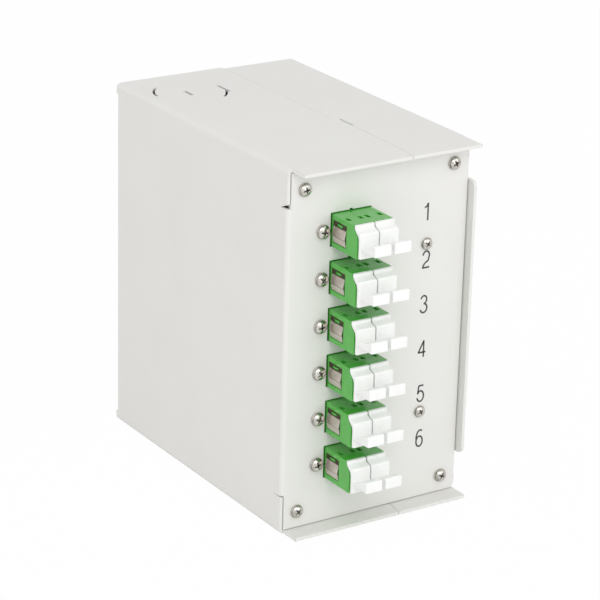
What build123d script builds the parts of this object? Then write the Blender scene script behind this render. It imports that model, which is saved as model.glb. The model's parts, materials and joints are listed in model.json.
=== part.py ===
from build123d import *
import math
import os

# DIN rail fibre box: a folded steel housing with six duplex adapters on its front panel.
# X runs right, Y runs back, Z runs up. The origin is the centre of the housing's underside,
# midway between the panel's face and the back wall. All sizes are in millimetres.

# Housing and side cover, folded sheet steel
housing_width = 62.0
housing_height = 109.0
housing_depth = 95.5
sheet = 1.0
bend_inside = 0.5
overhang = 6.0
overhang_inset = 1.4
edge_gap = 0.2
seam_gap = 0.12
seam_at_edge = 36.8
seam_at_panel = 37.9
seam_at_joggle = 38.3
seam_behind_joggle = 36.7
joggle_depth = 33.5
joggle_slot_length = 7.0
joggle_slot_width = 0.7
lap_width = 6.0
lap_clearance = 0.05
flap_spare = 5.0
back_setback = 0.35

# Fold between the left wall and the panel, its relief notches, and the panel's right edge
fold_low = 11.8
fold_high = 97.5
notch_depth = 3.6
notch_height = 1.4
slit_depth = 4.4
slit_height = 0.4
corner_edge_setback = 0.35
return_depth = 6.0
return_end = 5.0
panel_corner = 2.0

# Front lip of the side cover
lip_reach = 2.7
lip_low = 12.7
lip_high = 97.0
lip_corner = 2.0
corner_relief = 3.5

# Flange of the side cover inside the back wall
rear_flange_width = 9.0
rear_flange_end = 8.0

# Knock-out for a cable gland, in the top and the bottom
knockout_side = 14.8
knockout_depth = 77.3
knockout_radius = 10.85
knockout_slit = 0.7
knockout_left_arc = (128, 177)
knockout_right_arc = (-54, -18)
knockout_flat_side = 10.65
knockout_flat_width = 0.85
knockout_flat_ahead = 5.1
knockout_flat_behind = 2.3
knockout_sides = 28
pry_slot_side = 1.05
pry_slot_ahead = 3.2
pry_slot_behind = 1.8
pry_slot_width = 1.0

# Screws: shank radius, head radius, head height, length under the head
corner_screw = (1.25, 2.0, 1.5, 6.0)
adapter_screw = (1.0, 2.1, 1.7, 6.0)
bracket_screw = (1.0, 1.8, 1.2, 4.0)
din_screw = (1.5, 2.8, 1.7, 5.0)
tray_screw = (1.25, 2.2, 1.1, 4.0)
head_rim_share = 0.4
head_crown_share = 0.6
screw_clearance = 0.2
thread_clearance = 0.02
head_sides = 10
bore_sides = 6

# Corner screws and the brackets that take them
corner_screw_side = 5.35
corner_screw_end = 6.3
corner_bracket_width = 7.5
corner_bracket_drop = 10.5
corner_bracket_foot = 9.0
corner_bracket_sheet = 1.5
rear_screw_end = 22.0

# Adapters: six of them, one under the other
adapter_count = 6
adapter_pitch = 14.0
adapter_side = 21.0
adapter_width = 13.0
adapter_height = 9.4
adapter_cutout_clearance = 0.25
adapter_key_width = 1.0
adapter_key_height = 0.35
adapter_neck_inset = 0.3
adapter_neck_reach = 0.4
adapter_screw_span = 18.9
adapter_flange_width = 23.0
adapter_flange = 1.8
adapter_front_top = 10.8
adapter_front_low = 12.65
adapter_step_top = 3.0
adapter_step_low = 1.8
adapter_step_rise = 1.0
adapter_step_ease = 0.3
adapter_step_slope = 0.5
adapter_top_band = 0.9
adapter_rear_length = 12.2
port_pitch = 6.25
port_width = 4.6
port_low = 3.2
port_high = 3.6
septum = 2.0
ferrule_axis = -0.9
sleeve_outside = 0.95
sleeve_inside = 0.73
sleeve_length = 7.6
sleeve_slit = 0.25
sleeve_sides = 6
boss_radius = 1.5
boss_reach = 1.9
sleeve_clearance = 0.03
latch_window_spread = 4.0
latch_window_width = 1.1
latch_window_length = 2.2
latch_window_depth = 4.7
nut_radius = 2.0
nut_height = 1.6

# Spring-steel leaf in a recess on each side of the adapter's front half
clip_sheet = 0.3
clip_recess = 0.55
clip_seat = 0.02
clip_play = 0.1
clip_from_panel = 0.6
clip_length = 6.8
clip_high = 3.2
clip_low = -3.3
clip_bulge = 0.5
clip_bulge_from = 0.8
clip_crease = -1.8
clip_window_low = 1.9
clip_window_high = 2.8
clip_window_length = 2.6
clip_hole_radius = 0.45
clip_hole_back = 1.2
nub_play = 0.15

# Dust caps
cap_pitch = 6.55
cap_width = 6.2
cap_plate = 0.8
cap_seat_gap = 0.2
cap_low_gap = 0.55
cap_top = 4.7
cap_bottom = 4.4
cap_band = 1.0
cap_step_slope = 0.6
cap_step_top = 3.35
cap_step_low = 2.9
cap_step_rise = 0.5
plug_clearance = 0.25
plug_wall = 0.6
plug_length = 7.0
tab_reach = 6.8
tab_width = 5.5
tab_low = -1.9
tab_root = 1.0
tab_tip = 3.1
tab_tip_length = 1.2
tab_round = 0.4
tab_heel = 0.6

# Tray bracket, splice tray, splice holder and lid
bracket_screw_from_right = 15.0
bracket_screw_spread = 51.6
bracket_screw_drop = 0.3
tray_plate_from_right = 10.5
tray_foot_reach = 8.5
tray_plate_length = 84.0
tray_plate_height = 66.0
tray_from_panel = 12.0
tray_length = 68.0
tray_height = 60.0
tray_depth = 6.4
tray_wall = 1.2
tray_corner = 8.0
tray_mouth = 10.0
tray_screw_inset = 8.0
tray_boss_radius = 3.0
holder_length = 34.0
holder_wall = 0.8
holder_slots = 6
holder_slot_width = 2.4
holder_height = 3.6
lid_sheet = 0.8
lid_clearance = 0.15
spool_radius = 7.5
spool_wall = 1.0
spool_height = 4.0
spool_offset = 18.3
spool_sides = 16

# DIN rail clip on the back wall
rail_width = 35.0
rail_flange = 1.0
rail_play = 0.3
din_sheet = 1.5
din_width = 30.0
din_above = 4.0
din_below = 36.0
hook_lip = 3.0
hook_lead = 0.8
jaw_lead = 1.2
din_screw_spread = 18.0
latch_width = 16.0
latch_play = 0.15
latch_end = 6.0
guide_lip = 2.0
guide_length = 9.0
guide_above_end = 3.0
pull_eye_width = 6.0
pull_eye_height = 3.0
pull_eye_end = 2.1
spring_coil = 1.5
spring_wire = 0.25
spring_length = 9.0
spring_turns = 4
spring_steps = 10
spring_wire_sides = 4
spring_lug = 1.5
spring_slot_play = 0.3
spring_above_guide = 1.0

left = -housing_width / 2
right = housing_width / 2
front = -housing_depth / 2
back = housing_depth / 2
top = housing_height
middle = housing_height / 2
bend_outside = bend_inside + sheet
panel_back = front + sheet
cover_inside = right - sheet
panel_right = cover_inside - edge_gap


def block(x0, x1, y0, y1, z0, z1):
    """A box given by its lowest and highest corner."""
    middle_point = ((x0 + x1) / 2, (y0 + y1) / 2, (z0 + z1) / 2)
    return Pos(*middle_point) * Box(x1 - x0, y1 - y0, z1 - z0)


def along_x(outline, x0, x1):
    """Extrude an outline drawn in (y, z) from x0 to x1."""
    return extrude(Plane(origin=(x0, 0, 0), x_dir=(0, 1, 0), z_dir=(1, 0, 0)) * outline, x1 - x0)


def along_y(outline, y0, y1):
    """Extrude an outline drawn in (x, z) from y0 to y1."""
    return extrude(Plane(origin=(0, y1, 0), x_dir=(1, 0, 0), z_dir=(0, -1, 0)) * outline, y1 - y0)


def along_z(outline, z0, z1):
    """Extrude an outline drawn in (x, y) from z0 to z1."""
    return extrude(Pos(0, 0, z0) * outline, z1 - z0)


def outline_of(*points):
    return make_face(Polyline(*points, close=True))


def rectangle(u0, u1, v0, v1, corners=(), radius=0.0):
    """A rectangle whose named corners, given as (u, v), are rounded."""
    face = outline_of((u0, v0), (u1, v0), (u1, v1), (u0, v1))
    for u, v in corners:
        corner = [p for p in face.vertices() if abs(p.X - u) < 1e-6 and abs(p.Y - v) < 1e-6]
        face = fillet(corner, radius)
    return face


def rod_y(x, z, y0, y1, radius, sides=bore_sides):
    """A small round bar or hole along Y from y0 to y1, drawn with few sides."""
    return along_y(Pos(x, z) * RegularPolygon(radius, sides), y0, y1)


def rod_x(y, z, x0, x1, radius, sides=bore_sides):
    """A small round bar or hole along X from x0 to x1, drawn with few sides."""
    return along_x(Pos(y, z) * RegularPolygon(radius, sides), x0, x1)


def save(name, shape):
    """Write the solids of one finished piece."""
    export_step(Compound(shape.solids()), f"parts/{name}.step")


def pan_screw(kind):
    """Screw with its head's underside at the origin, its head towards -Y and its shank towards +Y."""
    shank, head, rise, length = kind
    rim = rise * head_rim_share
    head_body = rod_y(0, 0, -rise, 0, head, head_sides)
    slope = math.atan((rise - rim) / (head * (1 - head_crown_share)))
    edge = head * math.cos(math.pi / head_sides)
    for side in range(head_sides):
        turn = 360 * (side + 0.5) / head_sides
        bevel = outline_of((edge, -rim), (edge + rise, -rim), (edge + rise, -rise - 1),
                           (edge - (rise + 1 - rim) / math.tan(slope), -rise - 1))
        head_body -= Rot(0, turn, 0) * along_z(bevel, -head, head)
    return rod_y(0, 0, 0, length, shank) + head_body


def seam(shift):
    """Points (x, y) of the seam in the top and the bottom, front to back, moved right by shift."""
    ahead = front - overhang - 1
    step = front + joggle_depth
    return [
        (left + seam_at_edge + shift, ahead),
        (left + seam_at_panel + shift, front),
        (left + seam_at_joggle + shift, step - joggle_slot_length),
        (left + seam_at_joggle + shift, step),
        (left + seam_behind_joggle + shift, step),
        (left + seam_behind_joggle + shift, back + 1),
    ]


def panel_holes():
    """Cut-outs and screw holes of the front panel."""
    holes = []
    ahead, behind = front - 1, panel_back + 1
    for z in adapter_heights():
        gap = adapter_cutout_clearance
        x = left + adapter_side
        half_width, half_height = adapter_width / 2 + gap, adapter_height / 2 + gap
        holes.append(block(x - half_width, x + half_width, ahead, behind, z - half_height, z + half_height))
        key = adapter_key_width / 2
        holes.append(block(x - key, x + key, ahead, behind, z, z + half_height + adapter_key_height))
        for side in (-1, 1):
            across = x + side * adapter_screw_span / 2
            holes.append(rod_y(across, z, ahead, behind, adapter_screw[0] + screw_clearance))
    for x, z in corner_screw_places():
        holes.append(rod_y(x, z, ahead, behind, corner_screw[0] + screw_clearance))
    for z in bracket_screw_heights():
        holes.append(rod_y(bracket_screw_side(), z, ahead, behind, bracket_screw[0] + screw_clearance))
    return holes


def adapter_heights():
    """Centre heights of the adapters, the first at the top."""
    half = (adapter_count - 1) / 2
    return [middle + adapter_pitch * (half - row) for row in range(adapter_count)]


def corner_screw_places():
    """Corner screws (x, z): the left pair, then the right pair."""
    columns = (left + corner_screw_side, panel_right - corner_screw_side)
    rows = (top - corner_screw_end, corner_screw_end)
    return [(x, z) for x in columns for z in rows]


def bracket_screw_heights():
    centre = middle - bracket_screw_drop
    return [centre + bracket_screw_spread / 2, centre - bracket_screw_spread / 2]


def bracket_screw_side():
    return right - bracket_screw_from_right


def rear_screw_places():
    x = cover_inside - rear_flange_width / 2
    return [(x, top - rear_screw_end), (x, rear_screw_end)]


def din_screw_heights():
    return [middle + din_screw_spread / 2, middle - din_screw_spread / 2]


def knockout_circle(grown):
    """Outline about the knock-out's centre, larger than the knock-out by the given amount."""
    place = Pos(left + knockout_side, front + knockout_depth)
    return place * RegularPolygon(knockout_radius + grown, knockout_sides)


def knockout_cut(z0, z1):
    """Through slits of the knock-out: two arcs, a straight slot beside them and a pry slot."""
    x, y = left + knockout_side, front + knockout_depth
    half = knockout_slit / 2
    ring = knockout_circle(half) - knockout_circle(-half)
    far = knockout_radius * 3

    def wedge(a0, a1):
        points = [(x, y)]
        for angle in (a0, (a0 + a1) / 2, a1):
            turn = math.radians(angle)
            points.append((x + far * math.cos(turn), y + far * math.sin(turn)))
        return outline_of(*points)

    slits = (ring & wedge(*knockout_left_arc)) + (ring & wedge(*knockout_right_arc))
    flat = x + knockout_flat_side
    flat_half = knockout_flat_width / 2
    slits += rectangle(flat - flat_half, flat + flat_half, y - knockout_flat_ahead, y + knockout_flat_behind)
    pry, pry_half = x - pry_slot_side, pry_slot_width / 2
    slits += rectangle(pry - pry_half, pry + pry_half, y - pry_slot_ahead, y + pry_slot_behind)
    return along_z(slits, z0, z1)


def folded_c(side):
    """One wall with its top and bottom flaps, folded from one sheet; side is -1 left or 1 right."""
    wall = left if side < 0 else right
    inner = wall - side * sheet
    open_end = left + seam_at_edge - side * flap_spare
    lo, hi = min(wall, open_end), max(wall, open_end)
    outer = rectangle(lo, hi, 0, top, [(wall, 0), (wall, top)], bend_outside)
    past = open_end - side * 2
    lo, hi = min(inner, past), max(inner, past)
    hollow = rectangle(lo, hi, sheet, top - sheet, [(inner, sheet), (inner, top - sheet)], bend_inside)
    return outer - hollow


def make_housing():
    """Left wall, left flaps, panel and back wall as one folded sheet."""
    shell = along_y(folded_c(-1), front - overhang, back)
    ahead = front - overhang - 1
    wall_front = front + corner_edge_setback
    keep = outline_of((left - 1, ahead), *seam(0), (left - 1, back + 1))
    shell &= along_z(keep, -1, top + 1)
    shell -= block(left - 1, left + overhang_inset, ahead, wall_front, -1, top + 1)
    shell -= block(left - 1, left + sheet + 0.01, ahead, front + bend_outside, fold_low, fold_high)

    # the fold, the panel and its return bend
    fold_outer = rectangle(left, panel_right, front, front + return_depth,
                           [(left, front), (panel_right, front)], bend_outside)
    fold_inner = rectangle(left + sheet, panel_right - sheet, panel_back, front + return_depth + 1,
                           [(left + sheet, panel_back), (panel_right - sheet, panel_back)], bend_inside)
    low, high = sheet + edge_gap, top - sheet - edge_gap
    sides = fold_outer - fold_inner
    halfway = (left + panel_right) / 2
    left_part = sides & rectangle(left, halfway, front, front + return_depth)
    right_part = sides & rectangle(halfway, panel_right, front, front + return_depth)
    return_low, return_high = return_end, top - return_end
    folded = along_z(left_part, fold_low, fold_high) + along_z(right_part, return_low, return_high)
    corners = [(panel_right, low), (panel_right, high)]
    flat = along_y(rectangle(left + sheet + edge_gap, panel_right, low, high, corners, panel_corner),
                   front, panel_back)
    flat -= block(left - 1, left + bend_outside, front - 1, panel_back + 1, fold_low, fold_high)
    flat -= block(panel_right - bend_outside, right, front - 1, panel_back + 1, return_low, return_high)
    shell += folded + flat

    # the back wall, folded from the left wall
    back_outer = rectangle(left, right - edge_gap, back - 3 * sheet, back, [(left, back)], bend_outside)
    back_inner = rectangle(left + sheet, right, back - 4 * sheet, back - sheet,
                           [(left + sheet, back - sheet)], bend_inside)
    bend_low, bend_high = 2 * bend_outside, top - 2 * bend_outside
    shell -= block(left - 1, left + sheet + 0.01, back - bend_outside, back + 1, bend_low, bend_high)
    shell += along_z(back_outer - back_inner, bend_low, bend_high)
    plate_low, plate_high = sheet + edge_gap / 2, top - sheet - edge_gap / 2
    shell += block(left + bend_outside, right - edge_gap, back - sheet, back, plate_low, plate_high)

    # relief notches at the ends of the fold
    for end, depth, height in ((fold_high, notch_depth, notch_height), (fold_low, slit_depth, -slit_height)):
        notch = outline_of((front - 1, end), (front + depth, end), (wall_front, end + height),
                           (front - 1, end + height))
        shell -= along_x(notch, left - 1, left + sheet + edge_gap)

    for hole in panel_holes():
        shell -= hole
    for x, z in rear_screw_places():
        shell -= rod_y(x, z, back - 2 * sheet, back + 1, corner_screw[0] + screw_clearance)
    for z in din_screw_heights():
        shell -= rod_y(0, z, back - 2 * sheet, back + 1, din_screw[0] + thread_clearance)
    shell -= knockout_cut(top - 2 * sheet, top + 1)
    shell -= knockout_cut(-1, 2 * sheet)
    return shell


def make_cover():
    """Right wall with its front lip, right flaps, rear flange and the laps under the seam."""
    shell = along_y(folded_c(1), front - overhang, back - sheet - back_setback)
    ahead = front - overhang - 1
    keep = outline_of((right + 1, ahead), *seam(seam_gap), (right + 1, back + 1))
    shell &= along_z(keep, -1, top + 1)
    shell -= block(right - overhang_inset, right + 1, ahead, front + corner_relief, -1, top + 1)
    slot_end = front + joggle_depth
    slot_x = left + seam_at_joggle + seam_gap
    shell -= block(slot_x - 0.1, slot_x + joggle_slot_width, slot_end - joggle_slot_length, slot_end,
                   -1, top + 1)

    # the front lip that runs past the panel
    corners = [(front - lip_reach, lip_low), (front - lip_reach, lip_high)]
    lip = rectangle(front - lip_reach, front + corner_relief, lip_low, lip_high, corners, lip_corner)
    shell += along_x(lip, cover_inside, right)

    # the flange behind the right wall's rear edge
    flange_back = back - sheet - back_setback
    low, high = rear_flange_end, top - rear_flange_end
    flange_outer = rectangle(cover_inside - rear_flange_width, right, flange_back - 3 * sheet, flange_back,
                             [(right, flange_back)], bend_outside)
    flange_inner = rectangle(cover_inside - rear_flange_width - 1, cover_inside,
                             flange_back - 4 * sheet, flange_back - sheet,
                             [(cover_inside, flange_back - sheet)], bend_inside)
    shell -= block(cover_inside - 0.01, right + 1, flange_back - bend_outside, back + 1, low, high)
    shell += along_z(flange_outer - flange_inner, low, high)
    for x, z in rear_screw_places():
        shell -= rod_y(x, z, flange_back - 2 * sheet, back, corner_screw[0] + thread_clearance)

    # laps that close the seam from inside
    seam_x = left + seam_at_joggle
    for level in (sheet + lap_clearance, top - 2 * sheet - lap_clearance):
        lap = block(seam_x - lap_width, seam_x + lap_width, front + 2 * corner_screw_side,
                    back - 3 * bend_outside, level, level + sheet)
        weld_low = min(level, top - 2 * sheet)
        weld = block(seam_x + lap_width - 2 * sheet, seam_x + lap_width, front + 2 * corner_screw_side,
                     back - 3 * bend_outside, weld_low - lap_clearance, weld_low + sheet + 2 * lap_clearance)
        shell += lap + weld
    return shell


def make_corner_bracket(x, z):
    """L bracket welded under a flap, tapped for a corner screw."""
    up = z > middle
    flap = top - sheet if up else sheet
    away = -1 if up else 1
    t = corner_bracket_sheet
    half = corner_bracket_width / 2
    y0 = panel_back
    far = flap + away * corner_bracket_drop
    points = [(y0, flap), (y0 + corner_bracket_foot, flap), (y0 + corner_bracket_foot, flap + away * t),
              (y0 + t, flap + away * t), (y0 + t, far), (y0, far)]
    bracket = along_x(outline_of(*points), x - half, x + half)
    return bracket - rod_y(x, z, y0 - 1, y0 + t + 1, corner_screw[0] + thread_clearance)


def end_profile(reach_top, reach_low, towards):
    """Points (y, z) of an adapter's end face, stepped back at the top for the latch."""
    return [
        (towards * reach_low, -adapter_height / 2),
        (towards * reach_low, adapter_step_low - adapter_step_rise),
        (towards * (reach_low - adapter_step_ease), adapter_step_low),
        (towards * (reach_top + adapter_step_slope), adapter_step_top),
        (towards * reach_top, adapter_height / 2 - adapter_top_band),
        (towards * reach_top, adapter_height / 2),
    ]


def port_cut(side, y0, y1):
    """The square way of one port between two depths; side is -1 left or 1 right."""
    x = side * port_pitch / 2
    return block(x - port_width / 2, x + port_width / 2, y0, y1, -port_low, port_high)


def side_block(side, inner, outer, y0, y1, z0, z1):
    """A block between two distances from the adapter's middle plane; side is -1 left or 1 right."""
    lo, hi = sorted((side * inner, side * outer))
    return block(lo, hi, y0, y1, z0, z1)


def make_adapter_front():
    """Front half with the screw flange, about the adapter's centre; y = 0 is the panel's face."""
    half_w, half_h = adapter_width / 2, adapter_height / 2
    seat = sheet
    joint = seat + adapter_flange
    face = end_profile(adapter_front_top, adapter_front_low, -1)
    body = along_x(outline_of(*face, (joint, half_h), (joint, -half_h)), -half_w, half_w)
    body += block(-adapter_flange_width / 2, adapter_flange_width / 2, seat, joint, -half_h, half_h)
    y1 = -clip_from_panel
    y0 = y1 - clip_length
    window_low, window_high = clip_window_ends()
    boss_end = joint - septum - boss_reach
    bore = sleeve_outside + sleeve_clearance
    for side in (-1, 1):
        body -= side_block(side, half_w - adapter_neck_inset, half_w + 1, -adapter_neck_reach, seat,
                           -half_h - 1, half_h + 1)
        body -= side_block(side, half_w - clip_recess, half_w + 1, y0, y1, clip_low, clip_high)
        body += side_block(side, half_w - clip_recess, half_w, window_low + nub_play, window_high - nub_play,
                           clip_window_low + nub_play, clip_window_high - nub_play)
        x = side * port_pitch / 2
        body -= port_cut(side, -adapter_front_low - 1, joint - septum)
        body += rod_y(x, ferrule_axis, boss_end, joint - septum, boss_radius)
        body -= rod_y(x, ferrule_axis, boss_end - 1, joint + 1, bore)
        for hand in (-1, 1):
            wx = x + hand * latch_window_spread / 2
            wy = -adapter_front_top + latch_window_depth
            body -= block(wx - latch_window_width / 2, wx + latch_window_width / 2,
                          wy - latch_window_length / 2, wy + latch_window_length / 2,
                          port_high - 1, half_h + 1)
        screw_x = side * adapter_screw_span / 2
        body -= rod_y(screw_x, 0, seat - 1, joint + 1, adapter_screw[0] + screw_clearance)
    return body


def clip_window_ends():
    """The clip window's two ends along Y, from the panel's face."""
    middle_y = -clip_from_panel - clip_length / 2
    return middle_y - clip_window_length / 2, middle_y + clip_window_length / 2


def make_adapter_rear():
    """Rear half, welded to the flange of the front half."""
    half_w, half_h = adapter_width / 2, adapter_height / 2
    joint = sheet + adapter_flange
    end = joint + adapter_rear_length
    step = adapter_front_low - adapter_front_top
    boss_end = joint + septum + boss_reach
    bore = sleeve_outside + sleeve_clearance
    profile = outline_of(*end_profile(end - step, end, 1), (joint, half_h), (joint, -half_h))
    body = along_x(profile, -half_w, half_w)
    for side in (-1, 1):
        x = side * port_pitch / 2
        body -= port_cut(side, joint + septum, end + 1)
        body += rod_y(x, ferrule_axis, joint + septum, boss_end, boss_radius)
        body -= rod_y(x, ferrule_axis, joint - 1, boss_end + 1, bore)
    return body


def make_sleeves():
    """The two split ceramic sleeves at the adapter's joint plane."""
    joint = sheet + adapter_flange
    y0, y1 = joint - sleeve_length / 2, joint + sleeve_length / 2
    pair = []
    for side in (-1, 1):
        x = side * port_pitch / 2
        ring = RegularPolygon(sleeve_outside, sleeve_sides) - RegularPolygon(sleeve_inside, sleeve_sides)
        ring -= rectangle(-sleeve_slit / 2, sleeve_slit / 2, 0, sleeve_outside)
        pair.append(along_y(Pos(x, ferrule_axis) * ring, y0, y1))
    return Compound(pair)


def make_clip():
    """Spring-steel leaf in each side recess: flat above, bulged out to a crease, then bent back in."""
    inner = adapter_width / 2 - clip_recess + clip_seat
    y0 = -clip_from_panel - clip_length + clip_play
    y1 = -clip_from_panel - clip_play
    low, high = clip_low + clip_play, clip_high - clip_play
    line = ((0, low), (clip_bulge, clip_crease), (0, clip_bulge_from), (0, high))
    window_low, window_high = clip_window_ends()
    leaves = []
    for side in (-1, 1):
        skin = [(side * (inner + out), z) for out, z in line]
        outside = [(side * (inner + clip_sheet + out), z) for out, z in reversed(line)]
        leaf = along_y(outline_of(*skin, *outside), y0, y1)
        leaf -= side_block(side, inner - 1, inner + 1, window_low, window_high,
                           clip_window_low, clip_window_high)
        lo, hi = sorted((side * (inner - 1), side * (inner + 2)))
        leaf -= rod_x(y1 - clip_hole_back, 0, lo, hi, clip_hole_radius)
        leaves.append(leaf)
    return Compound(leaves)


def make_cap():
    """Dust cap about the adapter's centre line: end plate, hollow plug and flared pull tab."""
    low = adapter_front_low + cap_low_gap
    high = adapter_front_top + cap_seat_gap
    shoulder = adapter_step_low - adapter_step_rise
    band = adapter_height / 2 - adapter_top_band
    back_line = [(-low, -cap_bottom), (-low, shoulder), (-(low - adapter_step_ease), adapter_step_low),
                 (-(high + adapter_step_slope), adapter_step_top), (-high, band), (-high, cap_top)]
    low_face, high_face = low + cap_plate, high + cap_plate
    front_line = [(-high_face, cap_top), (-high_face, cap_top - cap_band),
                  (-(high_face + cap_step_slope), cap_step_top),
                  (-(low_face - adapter_step_ease), cap_step_low),
                  (-low_face, cap_step_low - cap_step_rise), (-low_face, -cap_bottom)]
    plate = along_x(outline_of(*back_line, *front_line), -cap_width / 2, cap_width / 2)
    half = port_width / 2 - plug_clearance - (cap_pitch - port_pitch) / 2
    z0, z1 = -port_low + plug_clearance, shoulder
    plug = block(-half, half, -low, -low + plug_length, z0, z1)
    plug -= block(-half + plug_wall, half - plug_wall, -low + plug_wall, -low + plug_length + 1,
                  z0 + plug_wall, z1 - plug_wall)
    face = -low - cap_plate
    tip = face - tab_reach
    tab = outline_of((face, tab_low), (tip, tab_low), (tip, tab_low + tab_tip - tab_round),
                     (tip + tab_round, tab_low + tab_tip), (tip + tab_tip_length, tab_low + tab_tip),
                     (face - tab_heel, tab_low + tab_root), (face, tab_low + tab_root))
    return plate + plug + along_x(tab, -tab_width / 2, tab_width / 2)


def make_tray_bracket():
    """Angle behind the panel: a foot on the panel, a plate that runs back beside the tray."""
    x0 = right - tray_plate_from_right
    half = tray_plate_height / 2
    y0 = panel_back
    outer = rectangle(x0 - tray_foot_reach, x0 + sheet, y0, y0 + tray_plate_length, [(x0 + sheet, y0)],
                      bend_outside)
    inner = rectangle(x0 - tray_foot_reach - 1, x0, y0 + sheet, y0 + tray_plate_length + 1,
                      [(x0, y0 + sheet)], bend_inside)
    plate = along_z(outer - inner, middle - half, middle + half)
    for z in bracket_screw_heights():
        plate -= rod_y(bracket_screw_side(), z, y0 - 1, y0 + sheet + 1, bracket_screw[0] + thread_clearance)
    for y, z in tray_screw_places():
        plate -= rod_x(y, z, x0 - 1, x0 + sheet + 1, tray_screw[0] + thread_clearance)
    return plate


def tray_screw_places():
    """Tray screws (y, z) on one diagonal of the tray."""
    y0 = front + tray_from_panel
    half = tray_height / 2
    return [(y0 + tray_screw_inset, middle + half - tray_screw_inset),
            (y0 + tray_length - tray_screw_inset, middle - half + tray_screw_inset)]


def tray_rectangle(shrink):
    y0 = front + tray_from_panel + shrink
    y1 = front + tray_from_panel + tray_length - shrink
    z0, z1 = middle - tray_height / 2 + shrink, middle + tray_height / 2 - shrink
    corners = [(y0, z0), (y1, z0), (y1, z1), (y0, z1)]
    return rectangle(y0, y1, z0, z1, corners, tray_corner - shrink)


def tray_face():
    """The tray's underside, which lies on the bracket's plate."""
    return right - tray_plate_from_right + sheet


def make_tray():
    """Moulded splice tray: floor, rim with two fibre mouths at each end, two winding spools."""
    x0 = tray_face()
    x1 = x0 + tray_depth
    tray = along_x(tray_rectangle(0), x0, x1) - along_x(tray_rectangle(tray_wall), x0 + tray_wall, x1 + 1)
    y_front = front + tray_from_panel
    half_mouth = tray_mouth / 2
    for end in (y_front, y_front + tray_length):
        for side in (-1, 1):
            z = middle + side * (tray_height / 2 - tray_corner - half_mouth)
            tray -= block(x0 + tray_wall, x1 + 1, end - 2 * tray_wall, end + 2 * tray_wall,
                          z - half_mouth, z + half_mouth)
    y_mid = y_front + tray_length / 2
    floor_top = x0 + tray_wall
    for side in (-1, 1):
        z = middle + side * spool_offset
        tray += rod_x(y_mid, z, floor_top, floor_top + spool_height, spool_radius, spool_sides)
        tray -= rod_x(y_mid, z, floor_top, floor_top + spool_height + 1, spool_radius - spool_wall,
                      spool_sides)
    for y, z in tray_screw_places():
        tray += rod_x(y, z, floor_top, floor_top + tray_wall, tray_boss_radius, head_sides)
        tray -= rod_x(y, z, x0 - 1, x1 + 1, tray_screw[0] + screw_clearance)
    return tray


def make_splice_holder():
    """Comb of slots for splice protectors, bonded to the tray floor between the spools."""
    x0 = tray_face() + tray_wall
    y_mid = front + tray_from_panel + tray_length / 2
    pitch = holder_slot_width + holder_wall
    height = holder_slots * pitch + holder_wall
    z0 = middle - height / 2
    half = holder_length / 2
    comb = block(x0, x0 + holder_height, y_mid - half, y_mid + half, z0, z0 + height)
    for slot in range(holder_slots):
        low = z0 + holder_wall + slot * pitch
        comb -= block(x0 + holder_wall, x0 + holder_height + 1, y_mid - holder_length, y_mid + holder_length,
                      low, low + holder_slot_width)
    return comb


def make_lid():
    """Clear lid that drops inside the tray's rim."""
    x1 = tray_face() + tray_depth
    return along_x(tray_rectangle(tray_wall + lid_clearance), x1 - lid_sheet, x1)


def rail_edges():
    """Heights of the rail's lower and upper edge, with play."""
    half = rail_width / 2 + rail_play
    return middle - half, middle + half


def make_din_bracket():
    """Plate on the back wall with the fixed hook above the rail and a guide for the latch below."""
    low_edge, high_edge = rail_edges()
    face = back + din_sheet
    slot = face + rail_flange + rail_play
    outside = slot + din_sheet
    half = din_width / 2
    plate_top = high_edge + din_sheet
    plate_low = low_edge - din_below + guide_length
    hook = outline_of((back, plate_low), (face, plate_low), (face, high_edge), (slot, high_edge),
                      (slot, high_edge - hook_lip), (outside, high_edge - hook_lip + hook_lead),
                      (outside, plate_top), (back, plate_top))
    bracket = along_x(hook, -half, half)
    bracket += block(-half, half, back, face, plate_top - 0.01, plate_top + din_above)

    # guide: a cheek on each side of the latch, turned in over its edge
    cheek = latch_width / 2 + latch_play
    lift = face + 2 * latch_play + din_sheet
    g0, g1 = guide_span()
    for side in (-1, 1):
        lo, hi = sorted((side * cheek, side * (cheek + din_sheet)))
        bracket += block(lo, hi, face, lift + din_sheet, g0, g1)
        lo, hi = sorted((side * (cheek - guide_lip), side * (cheek + din_sheet)))
        bracket += block(lo, hi, lift, lift + din_sheet, g0, g1)

    # lug that carries the spring's lower end
    z = spring_seat()
    bracket += block(-spring_coil, spring_coil, face, spring_line() + spring_coil, z - spring_lug, z)
    for height in din_screw_heights():
        bracket -= rod_y(0, height, back - 1, face + 1, din_screw[0] + screw_clearance)
    return bracket


def guide_span():
    low_edge = rail_edges()[0]
    start = low_edge - din_below + guide_length + guide_above_end
    return start, start + guide_length


def spring_line():
    """Distance of the spring's axis from the origin, along Y."""
    return back + din_sheet + latch_play + spring_coil + spring_wire


def spring_seat():
    """Height of the spring's fixed lower end."""
    return guide_span()[1] + spring_lug + spring_above_guide


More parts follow.
